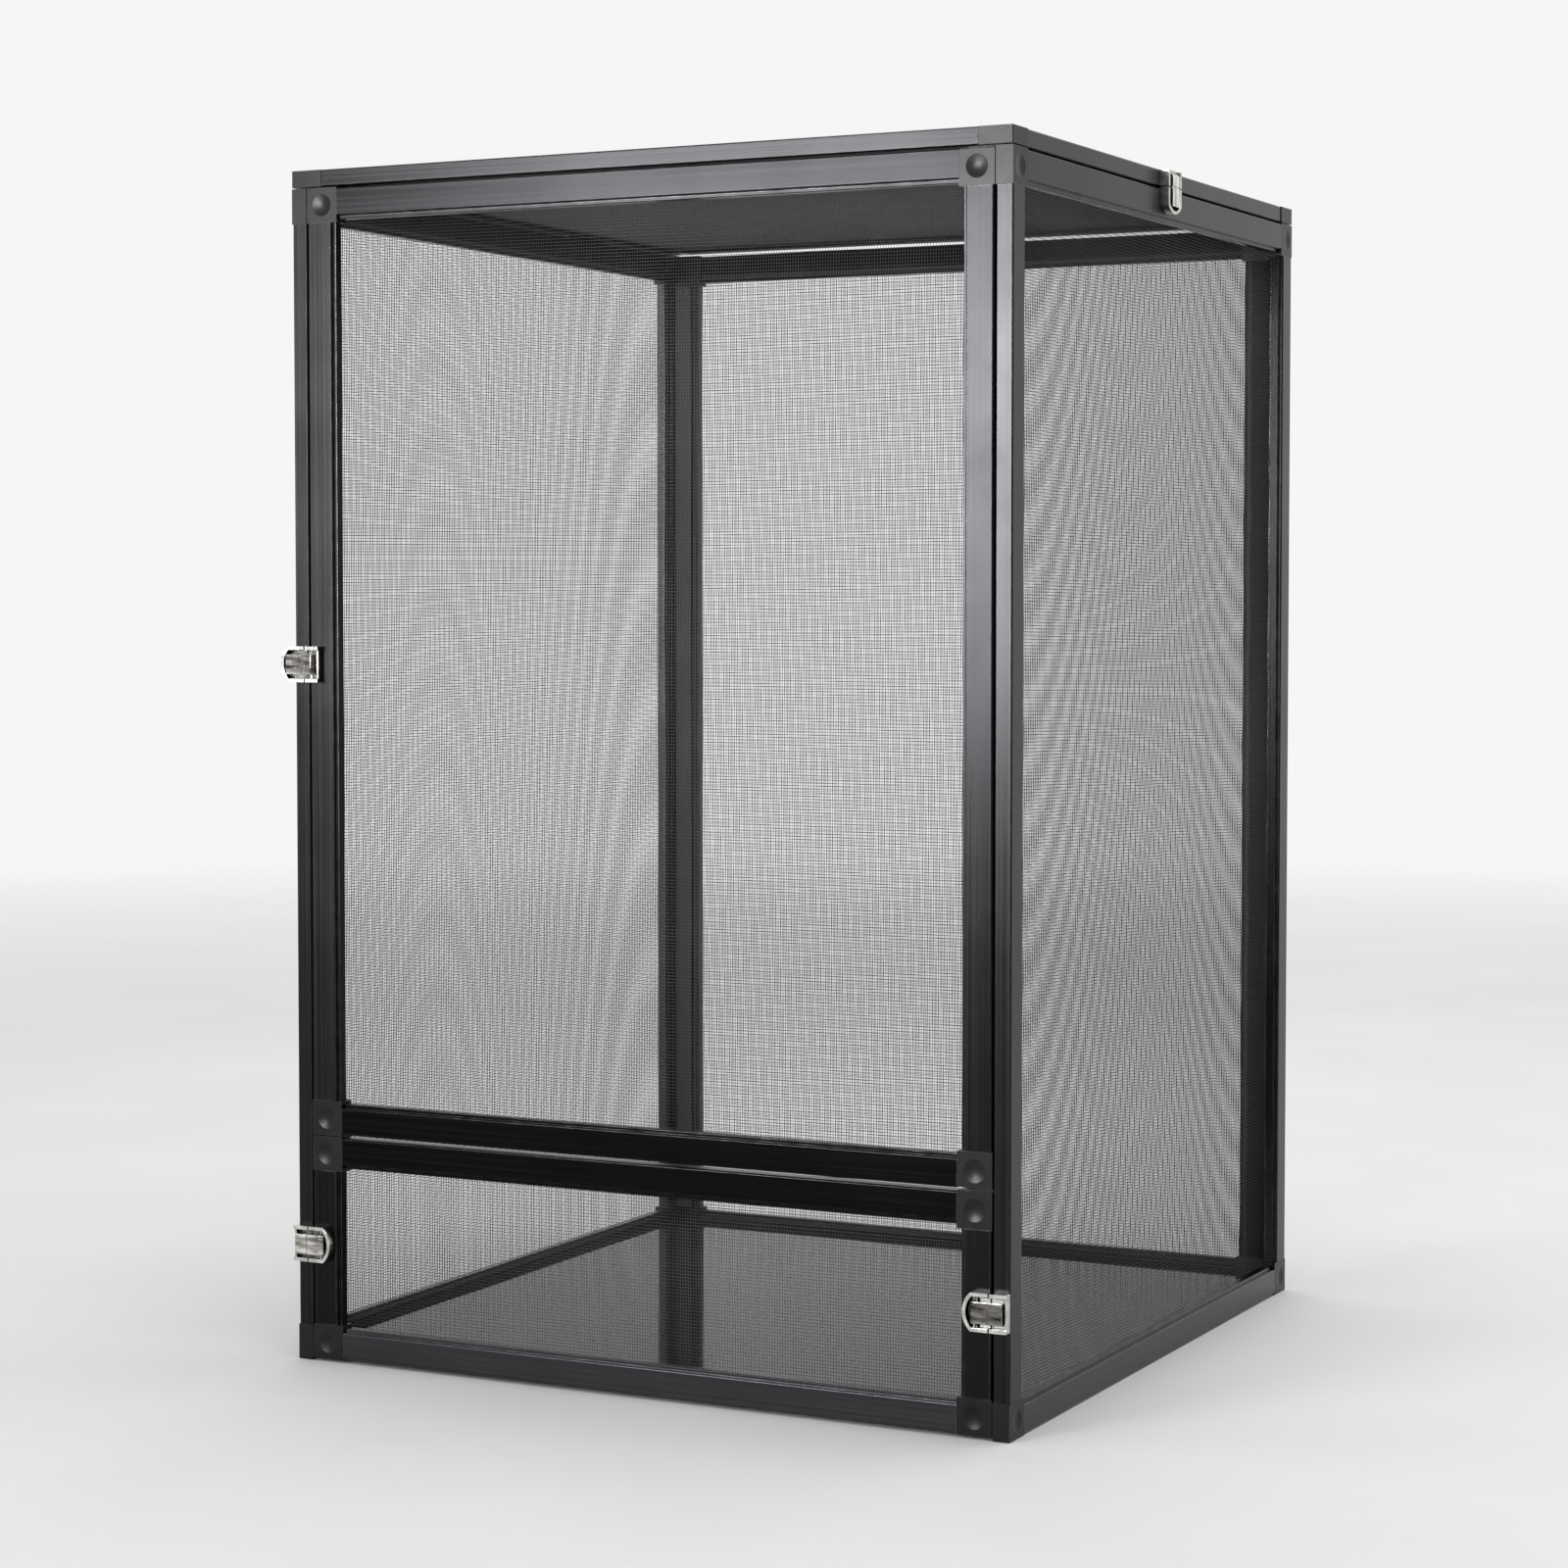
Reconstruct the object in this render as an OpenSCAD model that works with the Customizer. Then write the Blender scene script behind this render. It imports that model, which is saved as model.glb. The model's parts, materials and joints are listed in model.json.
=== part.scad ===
// Mesh reptile cage: seven screen panels of extruded rail, with an upper door, a lower flap and a lid.
// Millimetres, +Z up, front towards -Y. The origin is the middle of the base of the whole cage.

/* [Cage] */
// Width across the side panels
cage_w = 392; // [300:1:600]
// Depth from the front of the doors to the back
cage_d = 392; // [300:1:600]
// Height over the lid
cage_h = 600; // [400:1:900]
// Height of the seam between the flap and the upper door
flap_top = 115; // [95:1:200]
// How much lower the back panel is than the side panels
back_drop = 1.3; // [0:0.1:3]
// Gap between the corner caps of neighbouring panels that move apart
seam_gap = 0.5; // [0.4:0.05:0.8]
// Clearance between the opened flap and the ground
ground_gap = 0.25; // [0.1:0.05:1]

/* [Rails] */
// Thickness of a rail, and so of every panel
rail_t = 8.5; // [8:0.1:10]
// Face width of the hollow part of a rail
tube_w = 13.8; // [12:0.1:18]
// Width of the stepped lip beside the hollow part
lip_w = 1.8; // [1.6:0.1:3]
// Step from the outer face back to the lip
lip_step = 1.9; // [1:0.1:2.4]
// Wall of the extrusion
rail_wall = 1.2; // [0.9:0.1:1.4]
// Bevel along the edges of the hollow part
edge_bevel = 0.6; // [0.2:0.1:1]

/* [Screen] */
// Depth of the screen's seat behind the outer face
mesh_seat = 6.5; // [5.9:0.1:6.8]
// Width of the seat that the screen lies on
seat_w = 1.6; // [1.2:0.1:2]
// Thickness of the screen
mesh_t = 0.6; // [0.2:0.05:0.8]
// Pitch of the openings that stand for the screen's fine weave
opening_pitch = 46; // [40:1:80]
// Share of the screen's area that is open
open_share = 0.68; // [0.4:0.02:0.8]
// Width of the groove that the spline is pressed into
groove_w = 3; // [2.4:0.1:3.4]
// Depth of that groove below the seat
groove_depth = 2; // [1.4:0.1:2.4]
// Height of the spline
spline_h = 2.6; // [1.8:0.1:3]
// Clearance beside the spline
spline_play = 0.2; // [0.1:0.05:0.3]

/* [Corner caps] */
// How far a cap stands out past the rails' outer edges
cap_proud = 0.5; // [0.4:0.1:1.2]
// How far a cap reaches past the rails' inner edges
cap_lap = 1.5; // [0.3:0.1:2]
// Length of the tongues that plug into the rails
tongue_l = 22; // [12:1:26]
// Clearance round a tongue
tongue_play = 0.15; // [0.05:0.05:0.3]
// Diameter of the sink mark on a cap's face
dimple_d = 11; // [6:0.5:12]
// Depth of the sink mark
dimple_depth = 0.8; // [0.2:0.1:0.8]
// Diameter of the pegs that join the fixed panels
peg_d = 3.6; // [3:0.1:3.8]
// Length of those pegs outside their caps
peg_l = 5; // [3:0.1:5.5]
// Distance of a floor peg from the floor panel's front or back edge
peg_in = 12; // [11.5:0.1:13.5]
// Thickness of the floor board that lies on the floor panel
board_t = 2.5; // [2:0.1:4]
// Gap between the floor board and the panels beside and behind it
board_play = 0.5; // [0.3:0.1:1]

/* [Door and flap pivots] */
// Diameter of the upper door's pivot pins
door_pin_d = 2; // [1.6:0.1:2.2]
// Depth of the upper door's axis behind its face
door_pin_in = 2; // [1.9:0.05:2.2]
// Length of a door pin inside the door
door_pin_l = 4; // [3:0.5:4.5]
// Thickness of the plates that carry the door pins
plate_t = 0.8; // [0.5:0.1:1]
// Depth of those plates, front to back
plate_d = 6; // [5:0.1:7]
// Clearance between a pivot plate and the door
plate_play = 0.2; // [0.1:0.05:0.4]
// Diameter of the flap's pivot pins
flap_pin_d = 3; // [2:0.1:4]
// Height of the flap's axis above its lower edge
flap_pin_up = 6.5; // [6:0.1:9]
// Length of a flap pin inside the flap
flap_pin_l = 9; // [5:0.5:14]
// Length of a flap pin inside the side panel
flap_pin_seat = 6; // [3:0.5:7]
// Running clearance round a moving pin, on the radius
pin_play = 0.05; // [0.02:0.01:0.09]
// Clearance round a fixed plug, on each side
fit_play = 0.05; // [0.02:0.01:0.1]

/* [Latches] */
// Length of a latch over both its plates
latch_l = 22; // [21.5:0.5:27]
// Width of a latch
latch_w = 18; // [16:0.5:21]
// Height of the flap's latches above the middle of the flap
flap_latch_up = 1.9; // [0:0.1:6]
// Height of a closed latch above its panel
latch_h = 5.5; // [5.2:0.1:6.5]
// Sheet thickness of the latch plates and levers
latch_sheet = 0.9; // [0.7:0.1:1.1]
// Width of the raised rims
rim_w = 1.8; // [1.2:0.1:2.2]
// Radius of the rounded end
latch_end_r = 12; // [11:0.5:16]
// Width of a lever
lever_w = 10; // [8:0.5:11]
// Clearance round a lever
lever_play = 0.4; // [0.3:0.05:0.6]
// Diameter of the pin that a lever turns on
lever_pin_d = 1.4; // [1:0.1:1.8]
// Gap between the two plates of a latch, on each side of the seam
plate_gap = 0.3; // [0.2:0.05:0.6]
// Width of the line across a lever at the seam
score_w = 0.8; // [0.4:0.1:1.2]
// Depth of that line
score_depth = 0.4; // [0.2:0.1:0.5]

/* [Lid hinges] */
// Length of a hinge
hinge_l = 40; // [24:1:60]
// Distance between the middles of the two hinges
hinge_spacing = 200; // [120:1:220]
// Outside diameter of a hinge barrel
barrel_d = 4.6; // [4.2:0.1:5]
// Diameter of a hinge pin
hinge_pin_d = 2.5; // [1.8:0.1:2.8]
// Thickness of a hinge leaf
leaf_t = 1; // [0.8:0.1:1.2]
// Height of the leaf on the side panel
leaf_h = 12; // [8:0.5:13]
// Clearance between a barrel and what turns past it
barrel_play = 0.4; // [0.3:0.05:0.6]
// Half of the gap between the two leaves
leaf_gap = 0.3; // [0.2:0.05:0.5]

/* [Hidden] */
$fn = 64;
eps = 0.01;
overcut = 1;
SIDES = ["bottom", "right", "top", "left"];

rail_color = [0.13, 0.13, 0.14];
cap_color = [0.2, 0.2, 0.21];
mesh_color = [0.3, 0.3, 0.31];
spline_color = [0.06, 0.06, 0.06];
board_color = [0.04, 0.04, 0.04];
nickel_color = [0.78, 0.77, 0.74];
steel_color = [0.55, 0.55, 0.56];
black_steel_color = [0.1, 0.1, 0.1];

// Overall places
front_y = (latch_h - cage_d) / 2;
back_y = front_y + cage_d;
inner_x = cage_w / 2 - rail_t;
panel_top = cage_h - rail_t - seam_gap;
lid_seam_z = panel_top + seam_gap / 2;
latch_seam_x = inner_x - seam_gap / 2;
door_w = 2 * (inner_x - seam_gap);
door_z = flap_top + seam_gap / 2;

// Rail section
rail_w = tube_w + lip_w;
groove_out = rail_w - seat_w;
groove_in = groove_out - groove_w;
groove_floor = mesh_seat - groove_depth;
lip_bevel = 0.3;
cap_size = cap_proud + rail_w + cap_lap;
tongue_from = rail_wall + tongue_play;
tongue_w = groove_in - rail_wall - tongue_play - tongue_from;
tongue_t = rail_t - 2 * tongue_from;
dimple_r = (pow(dimple_d / 2, 2) + pow(dimple_depth, 2)) / (2 * dimple_depth);
mesh_lap = 0.2;
mesh_margin = cap_proud + groove_out + mesh_lap;
spline_bevel = 0.5;

// Flap: the corner of its lower rail sets how high it hangs and how far back the floor starts
running_gap = 0.3;
sweep_step = 0.01;
flap_sweep = ceil(norm([rail_t / 2, flap_pin_up - cap_proud]) / sweep_step) * sweep_step;
flap_lift = flap_sweep - flap_pin_up + ground_gap;
flap_axis_y = front_y + rail_t / 2;
flap_axis_z = flap_lift + flap_pin_up;
flap_cap_reach = sqrt(max(0, pow(flap_sweep, 2) - pow(flap_pin_up, 2)));
flap_cap_bevel = rail_t / 2 - flap_cap_reach + fit_play;
floor_front_y = front_y + rail_t / 2 + flap_sweep + running_gap;

// Panel sizes, seen from outside
side_size = [cage_d, panel_top];
back_size = [2 * inner_x, panel_top - back_drop];
floor_size = [2 * inner_x, back_y - rail_t - floor_front_y];
board_corner = 3;
lid_size = [cage_w, cage_d];
door_size = [door_w, panel_top - door_z];
flap_size = [door_w, flap_top - seam_gap / 2 - flap_lift];

// Upper door pivots
door_pin_x = door_w / 2 - cap_size / 2;
door_pin_y = front_y + door_pin_in;
door_end_cut = plate_t + plate_play;
plate_lead = 4;
plate_inset = 0.3;
plate_back_y = front_y + plate_inset + plate_d;
tab_play = 0.2;
tab_y = front_y + cap_proud + rail_wall + tab_play;
tab_end_gap = 1.3;
tab_l = rail_t - rail_wall - tab_end_gap;
pin_room = 0.5;

// Latches: lengths are measured from the seam
latch_edge_l = rail_t + seam_gap / 2;
latch_round_l = latch_l - latch_edge_l;
door_latch_straight_l = latch_l - latch_h - latch_edge_l;
door_latch_round_l = latch_l - door_latch_straight_l;
lever_low = latch_sheet + lever_play;
lever_r = (latch_h - lever_low) / 2;
lever_pin_h = lever_low + lever_r;
rim_cover = 0.6;
rim_h = lever_pin_h + lever_pin_d / 2 + rim_cover;
end_wall_t = 1.2;
round_end_play = 0.6;
door_latch_z = door_z + door_size.y / 2;
flap_latch_z = flap_lift + flap_size.y / 2 + flap_latch_up;
latch_mid_y = front_y + cage_d / 2;

// Lid hinges
hinge_off = barrel_d / 2 + barrel_play;
knuckle_gap = 0.4;
knuckle_l = (hinge_l - 2 * knuckle_gap) / 3;
leaf_top_gap = 0.5;

// Places along a lever, measured from the seam towards the rounded end
function straight_stop(l) = l - end_wall_t - lever_play;
function straight_pivot(l) = lever_r - straight_stop(l);
function round_stop(l) =
    l - latch_end_r + sqrt(pow(latch_end_r - rim_w, 2) - pow(lever_w / 2, 2)) - round_end_play;
function round_pivot(l) = round_stop(l) - lever_r;
function side_length(size, side) = side == "bottom" || side == "top" ? size.x : size.y;

// Panel frames: x runs to the right and y runs up as seen from outside, and the outer face is at z = 0

module on_left_panel() {
    translate([-cage_w / 2, back_y, 0]) rotate([90, 0, -90]) children();
}

module on_right_panel() {
    translate([cage_w / 2, front_y, 0]) rotate([90, 0, 90]) children();
}

module on_back_panel() {
    translate([inner_x, back_y, 0]) rotate([90, 0, 180]) children();
}

module on_floor() {
    translate([-inner_x, back_y - rail_t, 0]) rotate([180, 0, 0]) children();
}

module on_lid() {
    translate([-cage_w / 2, front_y, cage_h]) children();
}

module on_upper_door() {
    translate([-door_w / 2, front_y, door_z]) rotate([90, 0, 0]) children();
}

module on_flap() {
    translate([-door_w / 2, front_y, flap_lift]) rotate([90, 0, 0]) children();
}

// Places its children on one side of a panel: x runs along the side, y runs inwards
module on_side(size, side) {
    corners = [[0, 0], [size.x, 0], size, [0, size.y]];
    turns = search([side], SIDES)[0];
    translate(corners[turns]) rotate(90 * turns) children();
}

// Shapes that every panel shares

module rail_section() {
    difference() {
        polygon([
            [0, -edge_bevel], [edge_bevel, 0], [tube_w - edge_bevel, 0], [tube_w, -edge_bevel],
            [tube_w, -lip_step], [rail_w - lip_bevel, -lip_step], [rail_w, -lip_step - lip_bevel],
            [rail_w, -mesh_seat], [groove_out, -mesh_seat], [groove_out, -groove_floor],
            [groove_in, -groove_floor], [groove_in, -rail_t], [edge_bevel, -rail_t], [0, edge_bevel - rail_t]
        ]);
        polygon([
            [rail_wall, -rail_wall], [tube_w - rail_wall, -rail_wall],
            [tube_w - rail_wall, rail_wall - groove_floor], [groove_in - rail_wall, rail_wall - groove_floor],
            [groove_in - rail_wall, rail_wall - rail_t], [rail_wall, rail_wall - rail_t]
        ]);
    }
}

module rail(size, side) {
    length = side_length(size, side) - 2 * cap_size;
    on_side(size, side)
        translate([cap_size, cap_proud, 0])
            rotate([90, 0, 90])
                linear_extrude(length) rail_section();
}

module tongue() {
    translate([cap_size - eps, cap_proud + tongue_from, -tongue_from - tongue_t])
        cube([tongue_l + eps, tongue_w, tongue_t]);
}

module corner_cap() {
    difference() {
        union() {
            translate([0, 0, -rail_t]) cube([cap_size, cap_size, rail_t]);
            tongue();
            mirror([1, -1, 0]) tongue();
        }
        translate([cap_size / 2, cap_size / 2, dimple_r - dimple_depth]) sphere(dimple_r);
    }
}

module corner_caps(size) {
    for (side = SIDES)
        on_side(size, side) corner_cap();
}

module screen(size) {
    translate([0, 0, -mesh_seat - mesh_t])
        linear_extrude(mesh_t)
            difference() {
                translate([mesh_margin, mesh_margin])
                    square([size.x - 2 * mesh_margin, size.y - 2 * mesh_margin]);
                for (side = SIDES)
                    on_side(size, side) square(cap_size + fit_play);
                screen_openings(size);
            }
}

// A plain grid of openings between a panel's rails
module screen_openings(size) {
    from = cap_proud + rail_w;
    clear = [size.x - 2 * from, size.y - 2 * from];
    counts = [for (length = clear) max(1, round(length / opening_pitch))];
    pitch = [clear.x / counts.x, clear.y / counts.y];
    for (column = [0:counts.x - 1], row = [0:counts.y - 1])
        translate([from + (column + 0.5) * pitch.x, from + (row + 0.5) * pitch.y])
            square(pitch * sqrt(open_share), center = true);
}

module spline_section() {
    w = groove_w - 2 * spline_play;
    h = spline_h;
    b = spline_bevel;
    polygon([[b, 0], [w - b, 0], [w, -b], [w, b - h], [w - b, -h], [b, -h], [0, b - h], [0, -b]]);
}

module splines(size) {
    for (side = SIDES)
        on_side(size, side)
            translate([cap_size, cap_proud + groove_in + spline_play, -groove_floor])
                rotate([90, 0, 90])
                    linear_extrude(side_length(size, side) - 2 * cap_size) spline_section();
}

// A round bar or hole along X, from x1 to x2
module bar_x(x1, x2, y, z, d) {
    translate([min(x1, x2), y, z])
        rotate([0, 90, 0])
            cylinder(h = abs(x2 - x1), d = d);
}

// Pegs of the fixed panels

module peg(side, y, z, play) {
    bar_x(side * (inner_x - overcut), side * (inner_x + peg_l + play), y, z, peg_d + 2 * play);
}

module back_pegs(side, play) {
    for (z = [cap_size / 2, back_size.y - cap_size / 2])
        peg(side, back_y - rail_t / 2, z, play);
}

module floor_pegs(side, play) {
    for (y = [floor_front_y + peg_in, back_y - rail_t - peg_in])
        peg(side, y, rail_t / 2, play);
}

module flap_pin(side, from_x, to_x, play) {
    bar_x(side * from_x, side * to_x, flap_axis_y, flap_axis_z, flap_pin_d + 2 * play);
}

module side_cap_holes(side) {
    back_pegs(side, fit_play);
    floor_pegs(side, fit_play);
    flap_pin(side, inner_x - overcut, inner_x + flap_pin_seat + fit_play, fit_play);
}

// The slot in the right panel that a pivot plate's tab is held in
module tab_slot(z) {
    translate([inner_x - overcut, tab_y - fit_play, z - fit_play])
        cube([overcut + tab_l + fit_play, plate_back_y - tab_y + 2 * fit_play, plate_t + 2 * fit_play]);
}

// Left panel

module left_panel_top_rail() {
    color(rail_color) on_left_panel() rail(side_size, "top");
}

module left_panel_bottom_rail() {
    color(rail_color) difference() {
        on_left_panel() rail(side_size, "bottom");
        floor_pegs(-1, fit_play);
    }
}

module left_panel_front_stile() {
    color(rail_color) on_left_panel() rail(side_size, "right");
}

module left_panel_back_stile() {
    color(rail_color) on_left_panel() rail(side_size, "left");
}

module left_panel_corners() {
    color(cap_color) difference() {
        on_left_panel() corner_caps(side_size);
        side_cap_holes(-1);
    }
}

module left_panel_mesh() {
    color(mesh_color) on_left_panel() screen(side_size);
}

// Right panel

module right_panel_top_rail() {
    color(rail_color) on_right_panel() rail(side_size, "top");
}

module right_panel_bottom_rail() {
    color(rail_color) difference() {
        on_right_panel() rail(side_size, "bottom");
        floor_pegs(1, fit_play);
    }
}

module right_panel_front_stile() {
    color(rail_color) difference() {
        on_right_panel() rail(side_size, "left");
        tab_slot(door_z);
    }
}

module right_panel_back_stile() {
    color(rail_color) on_right_panel() rail(side_size, "right");
}

module right_panel_corners() {
    color(cap_color) difference() {
        on_right_panel() corner_caps(side_size);
        side_cap_holes(1);
        tab_slot(panel_top - plate_t);
    }
}

module right_panel_mesh() {
    color(mesh_color) on_right_panel() screen(side_size);
}

// Back panel

module back_panel_top_rail() {
    color(rail_color) on_back_panel() rail(back_size, "top");
}

module back_panel_bottom_rail() {
    color(rail_color) on_back_panel() rail(back_size, "bottom");
}

module back_panel_left_stile() {
    color(rail_color) on_back_panel() rail(back_size, "right");
}

module back_panel_right_stile() {
    color(rail_color) on_back_panel() rail(back_size, "left");
}

module back_panel_corners() {
    color(cap_color) {
        on_back_panel() corner_caps(back_size);
        for (side = [-1, 1]) back_pegs(side, 0);
    }
}

module back_panel_mesh() {
    color(mesh_color) on_back_panel() screen(back_size);
}

// Floor panel

module floor_front_rail() {
    color(rail_color) on_floor() rail(floor_size, "top");
}

module floor_back_rail() {
    color(rail_color) on_floor() rail(floor_size, "bottom");
}

module floor_left_rail() {
    color(rail_color) on_floor() rail(floor_size, "left");
}

module floor_right_rail() {
    color(rail_color) on_floor() rail(floor_size, "right");
}

module floor_corners() {
    color(cap_color) {
        on_floor() corner_caps(floor_size);
        for (side = [-1, 1]) floor_pegs(side, 0);
    }
}

module floor_mesh() {
    color(mesh_color) on_floor() screen(floor_size);
}

module floor_board() {
    x = inner_x - board_play;
    y1 = floor_front_y;
    y2 = back_y - rail_t - board_play;
    c = board_corner;
    color(board_color)
        translate([0, 0, rail_t])
            linear_extrude(board_t)
                polygon([
                    [c - x, y1], [x - c, y1], [x, y1 + c], [x, y2 - c],
                    [x - c, y2], [c - x, y2], [-x, y2 - c], [-x, y1 + c]
                ]);
}

module fixed_panel_splines() {
    color(spline_color) {
        on_left_panel() splines(side_size);
        on_right_panel() splines(side_size);
        on_back_panel() splines(back_size);
        on_floor() splines(floor_size);
    }
}

// Lid

module lid_front_rail() {
    color(rail_color) on_lid() rail(lid_size, "bottom");
}

module lid_back_rail() {
    color(rail_color) on_lid() rail(lid_size, "top");
}

module lid_left_rail() {
    color(rail_color) on_lid() rail(lid_size, "left");
}

module lid_right_rail() {
    color(rail_color) on_lid() rail(lid_size, "right");
}

module lid_corners() {
    color(cap_color) on_lid() corner_caps(lid_size);
}

module lid_mesh() {
    color(mesh_color) on_lid() screen(lid_size);
}

module lid_splines() {
    color(spline_color) on_lid() splines(lid_size);
}

// Upper door

module upper_door_top_rail() {
    color(rail_color) on_upper_door() rail(door_size, "top");
}

module upper_door_bottom_rail() {
    color(rail_color) on_upper_door() rail(door_size, "bottom");
}

module upper_door_left_stile() {
    color(rail_color) on_upper_door() rail(door_size, "left");
}

module upper_door_right_stile() {
    color(rail_color) on_upper_door() rail(door_size, "right");
}

// The hinge caps are shorter at their ends, to leave room for the pivot plates
module upper_door_corners() {
    bore_l = door_pin_l + pin_room;
    color(cap_color) difference() {
        on_upper_door() corner_caps(door_size);
        for (z = [door_z - overcut, panel_top - door_end_cut])
            translate([door_w / 2 - cap_size, front_y - overcut, z])
                cube([cap_size + overcut, rail_t + 2 * overcut, door_end_cut + overcut]);
        for (z = [door_z + door_end_cut - overcut, panel_top - door_end_cut - bore_l])
            translate([door_pin_x, door_pin_y, z])
                cylinder(h = bore_l + overcut, d = door_pin_d + 2 * pin_play);
    }
}

module upper_door_mesh() {
    color(mesh_color) on_upper_door() screen(door_size);
}

module upper_door_splines() {
    color(spline_color) on_upper_door() splines(door_size);
}

module pivot_plate(z, pin_z) {
    translate([door_pin_x - plate_lead, front_y + plate_inset, z])
        cube([inner_x - fit_play - door_pin_x + plate_lead, plate_d, plate_t]);
    translate([inner_x - fit_play - eps, tab_y, z])
        cube([tab_l, plate_back_y - tab_y, plate_t]);
    translate([door_pin_x, door_pin_y, pin_z])
        cylinder(h = plate_t + plate_play + door_pin_l, d = door_pin_d);
}

module upper_door_pivots() {
    color(black_steel_color) {
        pivot_plate(door_z, door_z);
        pivot_plate(panel_top - plate_t, panel_top - door_end_cut - door_pin_l);
    }
}

// Flap

module flap_top_rail() {
    color(rail_color) on_flap() rail(flap_size, "top");
}

module flap_bottom_rail() {
    color(rail_color) on_flap() rail(flap_size, "bottom");
}

module flap_left_stile() {
    color(rail_color) on_flap() rail(flap_size, "left");
}

module flap_right_stile() {
    color(rail_color) on_flap() rail(flap_size, "right");
}

// The lower caps are bevelled at the back, to swing clear of the ground
module flap_corners() {
    bevel_side = flap_cap_bevel * sqrt(2);
    color(cap_color) difference() {
        on_flap() corner_caps(flap_size);
        for (side = [-1, 1])
            flap_pin(side, door_w / 2 - flap_pin_l - pin_room, door_w / 2 + overcut, pin_play);
        translate([0, front_y + rail_t, flap_lift])
            rotate([45, 0, 0])
                cube([door_w + 2 * overcut, bevel_side, bevel_side], center = true);
    }
}

module flap_mesh() {
    color(mesh_color) on_flap() screen(flap_size);
}

module flap_splines() {
    color(spline_color) on_flap() splines(flap_size);
}

module flap_pivot_pins() {
    color(black_steel_color)
        for (side = [-1, 1])
            flap_pin(side, door_w / 2 - flap_pin_l, inner_x + flap_pin_seat, 0);
}

// Lid hinges, on the left face, with the barrel just outside the seam

module at_lid_hinges() {
    for (side = [-1, 1])
        translate([-cage_w / 2 - hinge_off, latch_mid_y + side * hinge_spacing / 2, lid_seam_z]) children();
}

module bar_y(y, length, d) {
    translate([0, y + length / 2, 0])
        rotate([90, 0, 0])
            cylinder(h = length, d = d);
}

module outer_knuckles(d, length) {
    for (side = [-1, 1])
        bar_y(side * (knuckle_l + knuckle_gap), length, d);
}

module fixed_leaf() {
    difference() {
        union() {
            outer_knuckles(barrel_d, knuckle_l);
            translate([hinge_off - leaf_t, -hinge_l / 2, -leaf_gap - leaf_h])
                cube([leaf_t, hinge_l, leaf_h]);
        }
        bar_y(0, knuckle_l + 2 * knuckle_gap, barrel_d + 2 * barrel_play);
        bar_y(0, hinge_l + 2 * overcut, hinge_pin_d + 2 * fit_play);
    }
}

module moving_leaf() {
    difference() {
        union() {
            bar_y(0, knuckle_l, barrel_d);
            translate([hinge_off - leaf_t, -hinge_l / 2, leaf_gap])
                cube([leaf_t + cap_proud, hinge_l, seam_gap / 2 + rail_t - leaf_top_gap - leaf_gap]);
        }
        outer_knuckles(barrel_d + 2 * barrel_play, knuckle_l + knuckle_gap);
        bar_y(0, hinge_l + 2 * overcut, hinge_pin_d + 2 * pin_play);
    }
}

module lid_hinge_fixed_leaves() {
    color(steel_color) at_lid_hinges() fixed_leaf();
}

module lid_hinge_moving_leaves() {
    color(steel_color) at_lid_hinges() moving_leaf();
}

module lid_hinge_pins() {
    color(nickel_color) at_lid_hinges() bar_y(0, hinge_l, hinge_pin_d);
}

// Latches: x runs from the seam towards the rounded end, and z runs outwards

module at_door_latch() {
    translate([-latch_seam_x, front_y, door_latch_z]) rotate([90, 0, 0]) rotate(180) children();
}

module at_flap_left_latch() {
    translate([-latch_seam_x, front_y, flap_latch_z]) rotate([90, 0, 0]) children();
}

module at_flap_right_latch() {
    translate([latch_seam_x, front_y, flap_latch_z]) rotate([90, 0, 0]) rotate(180) children();
}

module at_lid_latch() {
    translate([cage_w / 2, latch_mid_y, lid_seam_z]) rotate([0, 90, 0]) children();
}

module lever_pin(pivot) {
    length = latch_w - rim_w;
    translate([pivot, length / 2, lever_pin_h])
        rotate([90, 0, 0])
            cylinder(h = length, d = lever_pin_d);
}

// Fills the step down to a rail's recessed outer edge, on one side of the seam
module latch_seat(side) {
    from = max(plate_gap, seam_gap / 2);
    translate([side > 0 ? from : -latch_edge_l, -latch_w / 2, -cap_proud])
        cube([latch_edge_l - from, latch_w, cap_proud + latch_sheet]);
}

module straight_plate(l) {
    length = l - plate_gap;
    translate([-l, -latch_w / 2, 0]) cube([length, latch_w, latch_sheet]);
    for (y = [-latch_w / 2, latch_w / 2 - rim_w])
        translate([-l, y, 0]) cube([length, rim_w, rim_h]);
    translate([-l, -latch_w / 2, 0]) cube([end_wall_t, latch_w, lever_pin_h]);
}

module round_outline(l, w, r, from) {
    intersection() {
        translate([from, -w / 2]) square([l, w]);
        translate([l - latch_end_r, 0]) circle(r);
    }
}

module round_plate(l) {
    linear_extrude(latch_sheet) round_outline(l, latch_w, latch_end_r, plate_gap);
    linear_extrude(rim_h)
        difference() {
            round_outline(l, latch_w, latch_end_r, plate_gap);
            round_outline(l, latch_w - 2 * rim_w, latch_end_r - rim_w, -plate_gap);
        }
}

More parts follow.
